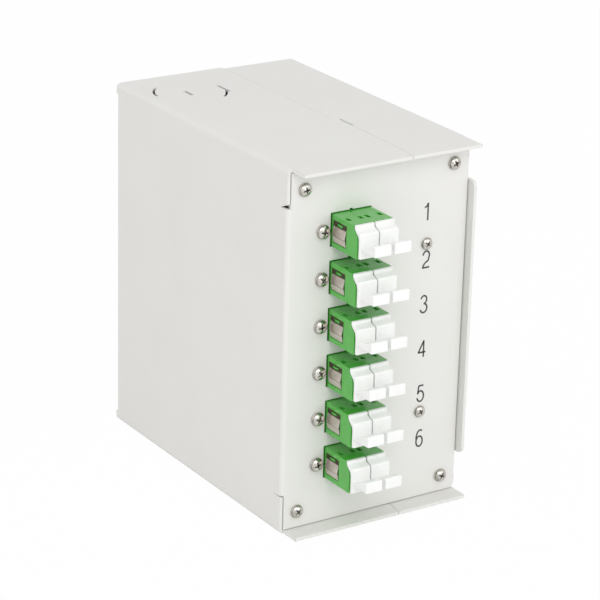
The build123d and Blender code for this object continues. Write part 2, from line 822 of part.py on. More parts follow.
def make_din_latch():
    """Sliding jaw below the rail, with a slot for the spring and a pull eye at its lower end."""
    low_edge = rail_edges()[0]
    face = back + din_sheet + latch_play
    skin = face + din_sheet
    slot = back + din_sheet + rail_flange + rail_play
    outside = slot + din_sheet
    jaw = low_edge - rail_play
    half = latch_width / 2
    profile = outline_of((face, latch_end), (skin, latch_end), (skin, jaw - din_sheet),
                         (slot, jaw - din_sheet), (outside, jaw - din_sheet),
                         (outside, jaw + hook_lip - jaw_lead), (slot, jaw + hook_lip),
                         (slot, jaw), (face, jaw))
    latch = along_x(profile, -half, half)
    z = spring_seat()
    slot_half = spring_coil + spring_wire + spring_slot_play
    latch -= block(-slot_half, slot_half, face - 1, skin + 3, z - spring_lug - latch_play, z + spring_length)
    latch += block(-spring_coil, spring_coil, face, spring_line() + spring_coil,
                   z + spring_length, z + spring_length + din_sheet)
    eye = latch_end + pull_eye_end
    latch -= block(-pull_eye_width / 2, pull_eye_width / 2, face - 1, skin + 1, eye, eye + pull_eye_height)
    return latch


def make_din_spring():
    """Compression spring between the bracket's lug and the latch, its wire bent in short straight steps."""
    rise = spring_length - 2 * spring_wire
    steps = spring_turns * spring_steps
    points = []
    for step in range(steps + 1):
        turn = 2 * math.pi * step / spring_steps
        points.append((spring_coil * math.cos(turn), spring_coil * math.sin(turn), rise * step / steps))
    path = Polyline(*points)
    section = Plane(origin=path @ 0, z_dir=path % 0) * RegularPolygon(spring_wire, spring_wire_sides)
    coil = sweep(section, path=path, transition=Transition.RIGHT)
    return Pos(0, spring_line(), spring_seat() + spring_wire) * coil


def facing_back(screw):
    """Turn a screw so that its head points to +Y."""
    return Rot(0, 0, 180) * screw


def facing_right(screw):
    """Turn a screw so that its head points to +X."""
    return Rot(0, 0, 90) * screw


def make_nut(x, y, z):
    """Hexagon nut whose front face is at y."""
    hexagon = RegularPolygon(nut_radius, 6) - RegularPolygon(adapter_screw[0] + thread_clearance, bore_sides)
    return Pos(x, 0, z) * along_y(hexagon, y, y + nut_height)


def main():
    os.makedirs("parts", exist_ok=True)
    save("housing", make_housing())
    save("side_cover", make_cover())

    names = ("corner_bracket_top_left", "corner_bracket_bottom_left",
             "corner_bracket_top_right", "corner_bracket_bottom_right")
    for name, (x, z) in zip(names, corner_screw_places()):
        save(name, make_corner_bracket(x, z))

    x = left + adapter_side
    front_half, rear_half, sleeves, clip, cap = (
        make_adapter_front(), make_adapter_rear(), make_sleeves(), make_clip(), make_cap())
    screws, nuts = [], []
    for row, z in enumerate(adapter_heights(), start=1):
        place = Pos(x, front, z)
        save(f"adapter_{row}_front", place * front_half)
        save(f"adapter_{row}_rear", place * rear_half)
        save(f"adapter_{row}_sleeves", place * sleeves)
        save(f"adapter_{row}_clip", place * clip)
        for hand, side in (("left", -1), ("right", 1)):
            save(f"cap_{row}_{hand}", Pos(x + side * cap_pitch / 2, front, z) * cap)
            across = x + side * adapter_screw_span / 2
            screws.append(Pos(across, front, z) * pan_screw(adapter_screw))
            nuts.append(make_nut(across, panel_back + adapter_flange, z))
    save("adapter_screws", Compound(screws))
    save("adapter_nuts", Compound(nuts))

    corner = [Pos(x, front, z) * pan_screw(corner_screw) for x, z in corner_screw_places()]
    save("corner_screws", Compound(corner))
    small = [Pos(bracket_screw_side(), front, z) * pan_screw(bracket_screw) for z in bracket_screw_heights()]
    save("bracket_screws", Compound(small))
    rear = [Pos(x, back, z) * facing_back(pan_screw(corner_screw)) for x, z in rear_screw_places()]
    save("rear_screws", Compound(rear))

    save("tray_bracket", make_tray_bracket())
    save("splice_tray", make_tray())
    save("splice_holder", make_splice_holder())
    save("tray_lid", make_lid())
    boss = tray_face() + 2 * tray_wall
    fixing = [Pos(boss, y, z) * facing_right(pan_screw(tray_screw)) for y, z in tray_screw_places()]
    save("tray_screws", Compound(fixing))

    save("din_bracket", make_din_bracket())
    save("din_latch", make_din_latch())
    save("din_spring", make_din_spring())
    clamp = [Pos(0, back + din_sheet, z) * facing_back(pan_screw(din_screw)) for z in din_screw_heights()]
    save("din_screws", Compound(clamp))


main()
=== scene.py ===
import json
import math

import bmesh
import bpy
import numpy as np
from mathutils import Matrix, Vector


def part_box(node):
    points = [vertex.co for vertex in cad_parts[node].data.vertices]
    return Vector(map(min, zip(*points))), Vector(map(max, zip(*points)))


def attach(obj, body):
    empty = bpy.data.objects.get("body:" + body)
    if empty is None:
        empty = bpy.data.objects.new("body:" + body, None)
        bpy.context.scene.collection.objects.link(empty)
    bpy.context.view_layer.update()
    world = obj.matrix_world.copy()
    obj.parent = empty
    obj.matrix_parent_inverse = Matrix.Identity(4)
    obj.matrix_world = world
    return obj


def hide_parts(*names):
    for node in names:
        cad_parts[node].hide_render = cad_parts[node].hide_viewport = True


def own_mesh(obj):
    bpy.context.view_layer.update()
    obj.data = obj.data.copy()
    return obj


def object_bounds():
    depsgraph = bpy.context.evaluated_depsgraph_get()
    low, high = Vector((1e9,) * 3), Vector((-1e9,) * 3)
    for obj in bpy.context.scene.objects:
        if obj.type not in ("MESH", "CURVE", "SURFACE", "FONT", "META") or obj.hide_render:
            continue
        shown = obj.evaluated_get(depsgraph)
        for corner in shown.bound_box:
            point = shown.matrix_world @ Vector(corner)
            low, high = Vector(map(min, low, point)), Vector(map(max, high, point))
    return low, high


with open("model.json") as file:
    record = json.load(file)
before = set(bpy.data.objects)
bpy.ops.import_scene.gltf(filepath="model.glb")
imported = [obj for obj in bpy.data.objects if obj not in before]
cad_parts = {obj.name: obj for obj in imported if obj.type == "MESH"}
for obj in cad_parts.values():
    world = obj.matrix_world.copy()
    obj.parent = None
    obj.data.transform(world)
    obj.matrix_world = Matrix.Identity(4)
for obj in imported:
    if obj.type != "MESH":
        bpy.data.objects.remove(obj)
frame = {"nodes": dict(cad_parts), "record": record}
cad_low, cad_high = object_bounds()

mm = 0.001
record = frame["record"]
body_of_node = {name: body for body, names in record["behaviour"]["bodies"].items() for name in names}
slot_of_node = {part["node"]: part["material_slot"] for part in record["subparts"]}

# Planes of the sheet metal that pieces of the scene are measured from
sheet = 1.0 * mm
edge_gap = 0.2 * mm
housing_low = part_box("housing")[0]
left_wall = housing_low.x
underside = housing_low.z
panel_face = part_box("corner_bracket_top_left")[0].y - sheet
panel_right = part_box("side_cover")[1].x - sheet - edge_gap

# Camera of the photograph, worked out from the housing's edges
camera_place = Vector((-401.76, -619.45, 329.92)) * mm
camera_right = Vector((0.8407, -0.5410, 0.0248))
camera_up = Vector((0.1724, 0.3107, 0.9348))
camera_lens = 158.97
sensor_width = 36.0


# Materials

def linear(code):
    """A colour written as sRGB hex, as the linear values that a shader takes."""
    parts = np.array([int(code[i:i + 2], 16) for i in (1, 3, 5)]) / 255.0
    values = np.where(parts <= 0.04045, parts / 12.92, ((parts + 0.055) / 1.055) ** 2.4)
    return (*[float(v) for v in values], 1.0)


def add(tree, kind, settings=None, **links):
    """Adds one node to a tree, sets its sockets or properties, and links its inputs."""
    node = tree.nodes.new(kind)
    for name, value in (settings or {}).items():
        if name in node.inputs:
            node.inputs[name].default_value = value
        else:
            setattr(node, name, value)
    for name, source in links.items():
        tree.links.new(source, node.inputs[name.replace("_", " ")])
    return node


def material(name, colour, roughness, build=None, **sockets):
    """A principled material; build adds the pattern that the real finish shows."""
    made = bpy.data.materials.new(name)
    made.use_nodes = True
    tree = made.node_tree
    shader = tree.nodes["Principled BSDF"]
    shader.inputs["Base Color"].default_value = linear(colour)
    shader.inputs["Roughness"].default_value = roughness
    for socket, value in sockets.items():
        shader.inputs[socket.replace("_", " ")].default_value = value
    if build:
        build(tree, shader)
    return made


noise_low, noise_high = 0.3, 0.7


def grain(tree, size, detail=2.0, stretch=(1, 1, 1)):
    """Noise whose spots measure size in metres on the piece, stretched along an axis if asked."""
    place = add(tree, "ShaderNodeTexCoord").outputs["Object"]
    mapped = add(tree, "ShaderNodeMapping", {"Scale": stretch}, Vector=place).outputs[0]
    return add(tree, "ShaderNodeTexNoise", {"Scale": 1.0 / size, "Detail": detail}, Vector=mapped).outputs[0]


def spread(tree, value, low, high):
    """Carries the middle range that noise fills to the range from low to high."""
    settings = {"From Min": noise_low, "From Max": noise_high, "To Min": low, "To Max": high}
    return add(tree, "ShaderNodeMapRange", settings, Value=value).outputs[0]


def shade(tree, value, dark, light):
    """Blends two close colours by a noise value."""
    ramp = add(tree, "ShaderNodeValToRGB", Fac=value)
    for stop, place, code in zip(ramp.color_ramp.elements, (noise_low, noise_high), (dark, light)):
        stop.position = place
        stop.color = linear(code)
    return ramp.outputs[0]


def bump(tree, shader, value, height):
    """Raises the surface by a noise value times height, in metres."""
    rise = add(tree, "ShaderNodeBump", {"Distance": height, "Strength": 1.0}, Height=value)
    tree.links.new(rise.outputs[0], shader.inputs["Normal"])


def powder_coat_pattern(tree, shader):
    """Orange peel of a baked coat: soft bumps a little under a millimetre across, drawn coarser to show."""
    tone = shade(tree, grain(tree, 18 * mm), "#e3e2df", "#e5e4e1")
    tree.links.new(tone, shader.inputs["Base Color"])
    peel = grain(tree, 0.9 * mm, 1.0)
    tree.links.new(spread(tree, peel, 0.42, 0.56), shader.inputs["Roughness"])
    bump(tree, shader, peel, 0.012 * mm)


def moulded_green_pattern(tree, shader):
    """Fine spark-eroded texture of a moulded housing, with faint flow marks."""
    tone = shade(tree, grain(tree, 4 * mm), "#48ab3b", "#4fb242")
    tree.links.new(tone, shader.inputs["Base Color"])
    tree.links.new(spread(tree, grain(tree, 1.5 * mm), 0.10, 0.16), shader.inputs["Roughness"])
    bump(tree, shader, grain(tree, 0.25 * mm), 0.0012 * mm)


def milky_cap_pattern(tree, shader):
    """Soft milky plastic, a little uneven where its wall is thin."""
    tone = shade(tree, grain(tree, 3 * mm), "#f1f2f0", "#f5f6f4")
    tree.links.new(tone, shader.inputs["Base Color"])
    bump(tree, shader, grain(tree, 0.5 * mm), 0.006 * mm)


def dulled(tree, shader, clean, dull):
    """Blends the clean colour towards a darker one where the piece's own point attribute is high: painted
    shade.
    """
    mark = add(tree, "ShaderNodeAttribute", {"attribute_name": "dull"}).outputs["Fac"]
    mix = add(tree, "ShaderNodeMix", {"data_type": "RGBA"})
    tree.links.new(mark, mix.inputs[0])
    tree.links.new(clean, mix.inputs[6])
    mix.inputs[7].default_value = linear(dull)
    tree.links.new(mix.outputs[2], shader.inputs["Base Color"])


def rolled_steel_pattern(tree, shader):
    """Rolling lines of strip steel, drawn along its length, with brown painted shade where the leaf lies
    deep and just under the lip.
    """
    lines = grain(tree, 0.12 * mm, 2.0, (1.0, 0.1, 1.0))
    tree.links.new(spread(tree, lines, 0.36, 0.46), shader.inputs["Roughness"])
    # painted shade: the colour darkens to brown where the leaf lies deep and just under its lip
    dulled(tree, shader, shade(tree, lines, "#dcd3cb", "#e6ddd6"), "#5f5849")
    bump(tree, shader, lines, 0.0006 * mm)


def zinc_pattern(tree, shader):
    """Bright zinc plating with cloudy patches a few millimetres wide."""
    cloud = grain(tree, 5 * mm, 4.0)
    tree.links.new(spread(tree, cloud, 0.28, 0.42), shader.inputs["Roughness"])
    tree.links.new(shade(tree, cloud, "#b4b8bd", "#c8cbcf"), shader.inputs["Base Color"])


def nickel_pattern(tree, shader):
    """Barrel-plated nickel: tiny dents break up its reflections, and painted shade darkens the recess and
    the rim.
    """
    dents = grain(tree, 0.35 * mm, 2.0)
    tree.links.new(spread(tree, dents, 0.14, 0.24), shader.inputs["Roughness"])
    # painted shade: the colour goes dark in the cross recess and at the rim of the head
    dulled(tree, shader, shade(tree, grain(tree, 0.9 * mm), "#b9b5ae", "#dedbd4"), "#524d47")
    bump(tree, shader, dents, 0.012 * mm)


def fine_mould_pattern(tree, shader):
    """Even satin of a moulded tray."""
    bump(tree, shader, grain(tree, 0.4 * mm), 0.006 * mm)


def dull_ink_pattern(tree, shader):
    """Screen-printed ink, slightly uneven in its cover."""
    tone = shade(tree, grain(tree, 0.6 * mm), "#3a3a3c", "#48484a")
    tree.links.new(tone, shader.inputs["Base Color"])


materials = {
    "powder_coat": material("light_grey_powder_coat", "#e4e3e0", 0.5, powder_coat_pattern),
    "green_plastic": material("moulded_green_pbt", "#4bae3e", 0.14, moulded_green_pattern,
                              IOR=1.57, Specular_IOR_Level=0.75),
    "cap_plastic": material("milky_polyethylene", "#f3f4f2", 0.34, milky_cap_pattern, Subsurface_Weight=0.2,
                            Subsurface_Radius=(1.0, 1.0, 1.0), Subsurface_Scale=1.2 * mm),
    "ceramic": material("polished_zirconia", "#efeee9", 0.12, fine_mould_pattern),
    "spring_steel": material("rolled_stainless_strip", "#c6beb4", 0.3, rolled_steel_pattern, Metallic=1.0),
    "screw_steel": material("nickel_plated_steel", "#d3cbc0", 0.2, nickel_pattern, Metallic=1.0),
    "zinc_steel": material("zinc_plated_steel", "#bfc3c7", 0.35, zinc_pattern, Metallic=1.0),
    "tray_plastic": material("white_abs", "#e6e7e8", 0.45, fine_mould_pattern),
    "clear_plastic": material("clear_polycarbonate", "#e8eef0", 0.08, fine_mould_pattern,
                              Transmission_Weight=0.9, Alpha=0.5),
}
ink = material("grey_panel_ink", "#414143", 0.55, dull_ink_pattern)


# Pieces from the frame

merge_gap = 0.002 * mm
pole_gap = 0.0005 * mm
shortest_edge = 0.0002 * mm
flat_turn = math.radians(0.3)
sharp_turn = math.radians(32)
flat_depth = 0.004 * mm


def finish_piece(piece, node):
    """Gives a piece the material of the CAD node's slot, and puts it on the body of the CAD node that it
    stands for.
    """
    piece.data.materials.clear()
    piece.data.materials.append(materials[slot_of_node[node]])
    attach(piece, body_of_node[node])


def link_mesh(name, mesh):
    """Puts a mesh into the scene as a piece that lies at the origin."""
    piece = bpy.data.objects.new(name, mesh)
    bpy.context.scene.collection.objects.link(piece)
    return piece


def merged_copy(node):
    """A copy of a CAD node's mesh with its corners merged, and the flat faces of folded sheet made whole."""
    mesh = bmesh.new()
    mesh.from_mesh(frame["nodes"][node].data)
    bmesh.ops.remove_doubles(mesh, verts=mesh.verts, dist=merge_gap)
    if slot_of_node[node] == "powder_coat":
        bmesh.ops.dissolve_limit(mesh, angle_limit=flat_turn, verts=mesh.verts, edges=mesh.edges)
    return mesh


bend_radius = 1.5 * mm
pressed_radius = 0.4 * mm
arc_match = 0.02 * mm
arc_ends = 0.02
arc_trim = 0.15


def press_return_bend(mesh):
    """Presses the panel's right bend as tight as the photograph shows it.

    The points of the outer arc are found by their distance from the bend's axis. Their angle round it,
    less arc_trim of the quarter turn at each end, becomes the angle round a smaller arc in the same
    corner. The arc's two ends stay.
    """
    axis_x, axis_y = panel_right - bend_radius, panel_face + bend_radius
    small_x, small_y = panel_right - pressed_radius, panel_face + pressed_radius
    for vert in mesh.verts:
        across, ahead = vert.co.x - axis_x, axis_y - vert.co.y
        share = math.atan2(across, ahead) / (math.pi / 2)
        on_arc = abs(math.hypot(across, ahead) - bend_radius) < arc_match
        if on_arc and arc_ends < share < 1 - arc_ends:
            turn = min(max((share - arc_trim) / (1 - 2 * arc_trim), 0), 1) * math.pi / 2
            vert.co.x = small_x + pressed_radius * math.sin(turn)
            vert.co.y = small_y - pressed_radius * math.cos(turn)


def read_values(items, name, width, kind=float):
    """One property of all items of a mesh as an array with width values in a row."""
    values = np.empty(len(items) * width, dtype=kind)
    items.foreach_get(name, values)
    return values.reshape(-1, width)


def set_flat_normals(piece, node):
    """Applies a piece's modifiers and makes the faces that lie across an axis shade as quite flat.

    A face lies across an axis if its corners differ along it by less than flat_depth, and each of its
    corners then gets that axis, signed as the face's own normal, as its normal. A corner that an eased
    edge pushed out of the node's box goes back to the box's side.
    """
    graph = bpy.context.evaluated_depsgraph_get()
    data = bpy.data.meshes.new_from_object(piece.evaluated_get(graph), depsgraph=graph)
    piece.modifiers.clear()
    piece.data = data
    low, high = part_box(node)
    data.vertices.foreach_set("co", np.clip(read_values(data.vertices, "co", 3), low, high).ravel())
    normals = read_values(data.corner_normals, "vector", 3)
    places = read_values(data.vertices, "co", 3)[read_values(data.loops, "vertex_index", 1, int)[:, 0]]
    starts = read_values(data.polygons, "loop_start", 1, int)[:, 0]
    totals = read_values(data.polygons, "loop_total", 1, int)[:, 0]
    thickness = np.maximum.reduceat(places, starts) - np.minimum.reduceat(places, starts)
    thin = thickness < flat_depth
    flat = np.repeat(thin.any(1), totals)
    axis = np.repeat(np.argmax(thin, axis=1), totals)
    own = np.repeat(read_values(data.polygons, "normal", 3), totals, axis=0)
    straight = np.eye(3)[axis] * np.sign(own[np.arange(len(axis)), axis])[:, None]
    normals[flat] = straight[flat]
    data.normals_split_custom_set(normals.tolist())


def eased(node, width, segments=2):
    """The CAD node's own form with its sharp edges eased by width, in metres."""
    mesh = merged_copy(node)
    if node == "housing":
        press_return_bend(mesh)
    data = bpy.data.meshes.new(node + "_eased")
    mesh.to_mesh(data)
    mesh.free()
    data.shade_smooth()
    piece = link_mesh(node + "_eased", data)
    ease = piece.modifiers.new("eased_edges", "BEVEL")
    ease.width = width
    ease.segments = segments
    ease.limit_method = "ANGLE"
    ease.angle_limit = sharp_turn
    ease.use_clamp_overlap = False
    ease.miter_outer = "MITER_ARC"
    ease.face_strength_mode = "FSTR_ALL"
    even = piece.modifiers.new("flat_faces", "WEIGHTED_NORMAL")
    even.mode = "FACE_AREA"
    even.weight = 100
    even.use_face_influence = True
    set_flat_normals(piece, node)
    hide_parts(node)
    finish_piece(piece, node)


def solids_of(node):
    """Lowest and highest corner of each separate solid in a node."""
    mesh = merged_copy(node)
    left_over = set(mesh.verts)
    found = []
    while left_over:
        group, edge = set(), [left_over.pop()]
        while edge:
            vert = edge.pop()
            group.add(vert)
            near = {e.other_vert(vert) for e in vert.link_edges} & left_over
            left_over -= near
            edge.extend(near)
        corners = np.array([v.co for v in group])
        found.append((corners.min(0), corners.max(0)))
    mesh.free()
    return sorted(found, key=lambda box: tuple(np.round(box[0], 6)))


def grid_faces(rows, columns, wrap):
    """Quads of a grid of points, closed round its columns if wrap is set."""
    row, column = np.meshgrid(np.arange(rows - 1), np.arange(columns - (0 if wrap else 1)), indexing="ij")
    beside = (column + 1) % columns
    quads = np.stack([row * columns + column, row * columns + beside,
                      (row + 1) * columns + beside, (row + 1) * columns + column], axis=-1)
    return quads.reshape(-1, 4)


def smooth_step(value, low, high):
    """0 below low, 1 above high, and between them a share t of the way gives t squared times 3 - 2 t."""
    t = np.clip((value - low) / (high - low), 0, 1)
    return t * t * (3 - 2 * t)


def mesh_from(name, grids, dull=None):
    """One mesh from several (points, wrap) grids, with its poles closed by merging.

    The painted-shade values, where given, hold one value from 0 to 1 for each point of each grid.
    """
    points, faces, base = [], [], 0
    for grid, wrap in grids:
        rows, columns = grid.shape[:2]
        points.append(grid.reshape(-1, 3))
        faces.append(grid_faces(rows, columns, wrap) + base)
        base += rows * columns
    data = bpy.data.meshes.new(name)
    data.from_pydata(np.concatenate(points).tolist(), [], np.concatenate(faces).tolist())
    if dull is not None:
        values = np.concatenate([marks.ravel() for marks in dull]).astype(np.float32)
        # stores the painted shade on the points, for the material to darken the colour by
        data.attributes.new("dull", "FLOAT", "POINT").data.foreach_set("value", values)
    mesh = bmesh.new()
    mesh.from_mesh(data)
    bmesh.ops.remove_doubles(mesh, verts=mesh.verts, dist=pole_gap)
    bmesh.ops.dissolve_degenerate(mesh, edges=mesh.edges, dist=shortest_edge)
    bmesh.ops.recalc_face_normals(mesh, faces=mesh.faces)
    mesh.to_mesh(data)
    mesh.free()
    data.shade_smooth()
    return data


# Screws, with widths as shares of the head's radius and heights as shares of its rise

crown_reach, crown_edge = 0.97, 0.30
crown_fill, crown_curve = 0.98, 2.6
rim_top, rim_drop = 0.9, 0.1
seat_reach, seat_height = 0.98, 0.08
tip_reach, tip_start = 0.8, 0.96
recess_reach, recess_width, recess_depth = 0.56, 0.17, 0.62
arm_inner, arm_outer, end_inner = 0.45, 0.62, 0.80
hub_inner, hub_outer = 0.17, 0.27
bowl_start, bowl_loss = 0.1, 0.45
# how much shade is painted into the colour in the recess and at the rim, and where the rim's painted shade
# starts
dull_recess, dull_rim, dull_rim_start = 0.9, 0.75, 0.82
crown_steps, rim_steps, screw_turns = 34, 5, 128


def screw_surface(head, rise, shank, length):
    """Pan-head screw along +Z about its own axis, underside of the head at z = 0, shank below.

    A profile of radius and height is turned round the axis. At a share s of its radius the crown stands
    crown_edge + (1 - crown_edge) sqrt(1 - (crown_fill s) ^ crown_curve) of the rise high, and a quarter
    round carries it to the rim. On the crown a cross is pressed in: the surface goes down where a point
    lies within the width of one of two arms and inside their reach, and less towards the arms' ends.
    The second result is high in the recess and at the rim, where shade is painted into the plating's colour.
    """
    share = np.linspace(0, 1, crown_steps)
    crown_radius = head * crown_reach * share
    dome = np.sqrt(np.clip(1 - (share * crown_fill) ** crown_curve, 0, 1))
    crown_height = rise * (crown_edge + (1 - crown_edge) * dome)
    corner = np.linspace(0, math.pi / 2, rim_steps)[1:]
    rim = head * crown_reach + head * (1 - crown_reach) * np.sin(corner)
    rim_height = crown_height[-1] * (rim_top - rim_drop * (1 - np.cos(corner)))
    radius = np.concatenate([crown_radius, rim,
                             [head, head * seat_reach, shank, shank, shank * tip_reach, 0]])
    height = np.concatenate([crown_height, rim_height,
                             [seat_height * rise, 0, 0, -length * tip_start, -length, -length]])
    turn = np.linspace(0, 2 * math.pi, screw_turns, endpoint=False)
    across = radius[:, None] * np.cos(turn)[None, :]
    along = radius[:, None] * np.sin(turn)[None, :]
    level = np.repeat(height[:, None], screw_turns, axis=1)
    narrow = np.minimum(np.abs(across), np.abs(along)) / head
    far = np.maximum(np.abs(across), np.abs(along)) / head
    arm = 1 - smooth_step(narrow, recess_width * arm_inner, recess_width * arm_outer)
    hub = 1 - smooth_step(np.hypot(across, along) / head, hub_inner, hub_outer)
    inside = np.maximum(arm, hub) * (1 - smooth_step(far, recess_reach * end_inner, recess_reach))
    bowl = 1 - bowl_loss * smooth_step(far, bowl_start, recess_reach)
    on_crown = np.zeros_like(level)
    on_crown[:len(share)] = 1
    level = level - inside * bowl * recess_depth * rise * on_crown
    # painted shade: the outer share of the rim and the cross recess get the darker colour
    edge = smooth_step(radius / head, dull_rim_start, 1.0)[:, None] * on_crown
    dull = np.clip(dull_recess * inside * on_crown + dull_rim * edge, 0, 1)
    return np.stack([across, along, level], axis=-1), dull


def screws(node, head_towards, turns):
    """All screws of a node as one piece.

    head_towards is the direction in which the heads look, and turns holds angles in radians by which
    one screw after another is turned about its axis.
    """
    axis = Vector(head_towards)
    sideways = Vector((0, 0, 1))
    across = sideways.cross(axis)
    direction = int(np.argmax(np.abs(head_towards)))
    kind = screw_kinds[node]
    grids, marks = [], []
    for index, (low, high) in enumerate(solids_of(node)):
        size = high - low
        head = np.delete(size, direction).max() / 2
        surface, dull = screw_surface(head, kind["rise"], kind["shank"], size[direction] - kind["rise"])
        angle = turns[index % len(turns)]
        c, s = math.cos(angle), math.sin(angle)
        spun = np.stack([surface[..., 0] * c - surface[..., 1] * s,
                         surface[..., 0] * s + surface[..., 1] * c, surface[..., 2]], axis=-1)
        end = high[direction] if axis[direction] > 0 else low[direction]
        seat = (low + high) / 2
        seat[direction] = end - axis[direction] * kind["rise"]
        placed = (spun[..., :1] * np.array(across) + spun[..., 1:2] * np.array(sideways)
                  + spun[..., 2:] * np.array(axis) + seat)
        grids.append((placed, True))
        marks.append(dull)
    piece = link_mesh(node + "_cross", mesh_from(node + "_cross", grids, marks))
    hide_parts(node)
    finish_piece(piece, node)


screw_kinds = {
    "corner_screws": {"rise": 1.5 * mm, "shank": 1.25 * mm},
    "adapter_screws": {"rise": 1.7 * mm, "shank": 1.0 * mm},
    "bracket_screws": {"rise": 1.2 * mm, "shank": 1.0 * mm},
    "rear_screws": {"rise": 1.5 * mm, "shank": 1.25 * mm},
    "din_screws": {"rise": 1.7 * mm, "shank": 1.5 * mm},
    "tray_screws": {"rise": 1.1 * mm, "shank": 1.25 * mm},
}
screws("corner_screws", (0, -1, 0), [0.7, 0.2, 1.1, 0.5])
screws("adapter_screws", (0, -1, 0), [0.3, 1.2, 0.6, 0.1, 0.9, 1.4])
screws("bracket_screws", (0, -1, 0), [0.5, 1.0])
screws("rear_screws", (0, 1, 0), [0.2, 0.8])
screws("din_screws", (0, 1, 0), [0.4, 1.1])
screws("tray_screws", (1, 0, 0), [0.3, 0.9])


# Spring leaves at the adapters' sides

leaf_sheet = 0.22 * mm
leaf_bulge = 0.52 * mm
leaf_fold = 1.3 * mm
leaf_lip = -1.0 * mm
leaf_gap = 0.35 * mm
leaf_window_low = 1.75 * mm
leaf_window_high = 2.75 * mm
leaf_window_length = 2.6 * mm
shelf_rise = 0.05 * mm
shelf_bulge = 0.28 * mm
shelf_crease = 0.45 * mm
shelf_foot = 0.02 * mm
shelf_shade = 0.1 * mm
# the least painted shade on the lower leaf, far below the lip
shelf_least_dull = 0.1


def strip(line, front, back):
    """A flat strip of sheet: the line of (out, height) points is its section, carried from front to back.

    The section is the line itself and the same line moved inwards by the sheet's thickness.
    """
    line = np.array(line)
    ring = np.concatenate([line, line[::-1] - np.array([leaf_sheet, 0])])
    rows = [np.stack([ring[:, 0], np.full(len(ring), y), ring[:, 1]], axis=-1) for y in (front, back)]
    closed = [np.repeat(row.mean(0, keepdims=True), len(ring), axis=0) for row in rows]
    return np.stack([closed[0], rows[0], rows[1], closed[1]])


def clip_leaves(node):
    """Both leaves of one clip, each as strips of sheet whose sections are lines of a few points.

    From the top: a deep part, two bars with the window open between them, so that the moulded nub in
    the recess shows through it, a plate that leans out to a free lip, and a lower leaf that comes out
    from behind the lip and bends back in. Shade is painted into the sheet's colour where it lies deep and
    just under the lip.
    """
    low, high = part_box(node)
    centre = (low + high) / 2
    deep = (high.x - low.x) / 2 - leaf_bulge
    front, back = low.y + leaf_gap, high.y
    middle = (low.y + high.y) / 2
    window_front, window_back = middle - leaf_window_length / 2, middle + leaf_window_length / 2
    top_z, low_z = high.z - centre.z, low.z - centre.z
    flat = [(deep, top_z), (deep, leaf_window_high)]
    bars = [(deep, leaf_window_high), (deep, leaf_window_low)]
    plate = [(deep, leaf_window_low), (deep, leaf_fold), (deep + leaf_bulge, leaf_lip)]
    shelf = [(deep + shelf_rise, leaf_lip - shelf_rise), (deep + shelf_bulge, leaf_lip - shelf_crease),
             (deep + shelf_foot, low_z)]
    deep_strips = [strip(flat, front, back), strip(bars, front, window_front),
                   strip(bars, window_back, back)]
    plate_strip, shelf_strip = strip(plate, front, back), strip(shelf, front, back)
    # painted shade: full on the deep part, fading down the plate to the fold, and on the lower leaf
    # strongest just under the lip
    plate_dull = 1 - smooth_step(leaf_window_low - plate_strip[..., 2], 0, leaf_window_low - leaf_fold)
    near_lip = smooth_step(shelf_strip[..., 2], leaf_lip - shelf_crease, leaf_lip - shelf_shade)
    shelf_dull = shelf_least_dull + (1 - shelf_least_dull) * near_lip
    parts = [(part, np.ones(part.shape[:2])) for part in deep_strips]
    parts += [(plate_strip, plate_dull), (shelf_strip, shelf_dull)]
    grids, marks = [], []
    for hand in (-1, 1):
        for part, dull in parts:
            placed = part * np.array([hand, 1, 1]) + np.array([centre.x, 0, centre.z])
            grids.append((placed, True))
            marks.append(dull)
    data = mesh_from(node + "_leaves", grids, marks)
    data.shade_flat()
    piece = link_mesh(node + "_leaves", data)
    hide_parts(node)
    finish_piece(piece, node)


for name in sorted(frame["nodes"]):
    if name.endswith("_clip"):
        clip_leaves(name)


# Spring of the rail clip

spring_wire = 0.25 * mm
spring_turns = 4
turn_steps = 48
wire_sides = 14
seat_share = 0.25
seat_ease = 0.04


def coil_spring(node, wire, turns):
    """Round wire wound on a helix inside the CAD spring's box, its ends flattened onto their seats.

    The path goes round a circle by the angle and up by a share t of the height, of which seat_share
    follows smooth_step and so lies flatter at both ends. A circle of the wire's radius stands across
    the path at each of its points.
    """
    low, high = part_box(node)
    centre = (low + high) / 2
    radius = (high.x - low.x) / 2 - wire
    steps = turns * turn_steps
    t = np.linspace(0, 1, steps + 1)
    rise = seat_share * smooth_step(t, -seat_ease, 1 + seat_ease) + (1 - seat_share) * t
    angle = 2 * math.pi * turns * t
    path = np.stack([centre.x + radius * np.cos(angle), centre.y + radius * np.sin(angle),
                     low.z + wire + (high.z - low.z - 2 * wire) * rise], axis=-1)
    ahead = np.gradient(path, axis=0)
    ahead /= np.linalg.norm(ahead, axis=1, keepdims=True)
    outward = np.stack([np.cos(angle), np.sin(angle), np.zeros_like(angle)], axis=-1)
    up = np.cross(ahead, outward)
    round_wire = np.linspace(0, 2 * math.pi, wire_sides, endpoint=False)
    size = np.concatenate([[0.0], np.full(steps + 1, wire), [0.0]])
    index = np.clip(np.arange(-1, steps + 2), 0, steps)
    ring = (path[index][:, None] + size[:, None, None]
            * (outward[index][:, None] * np.cos(round_wire)[None, :, None]
               + up[index][:, None] * np.sin(round_wire)[None, :, None]))
    piece = link_mesh(node + "_wire", mesh_from(node + "_wire", [(ring, True)]))
    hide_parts(node)
    finish_piece(piece, node)
    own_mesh(piece)


coil_spring("din_spring", spring_wire, spring_turns)


# Numbers printed beside the adapters

digit_height = 5.15 * mm
digit_width = 2.75 * mm
stroke = 0.52 * mm
print_height = 0.02 * mm
print_lap = 0.008 * mm
print_step = 0.12 * mm

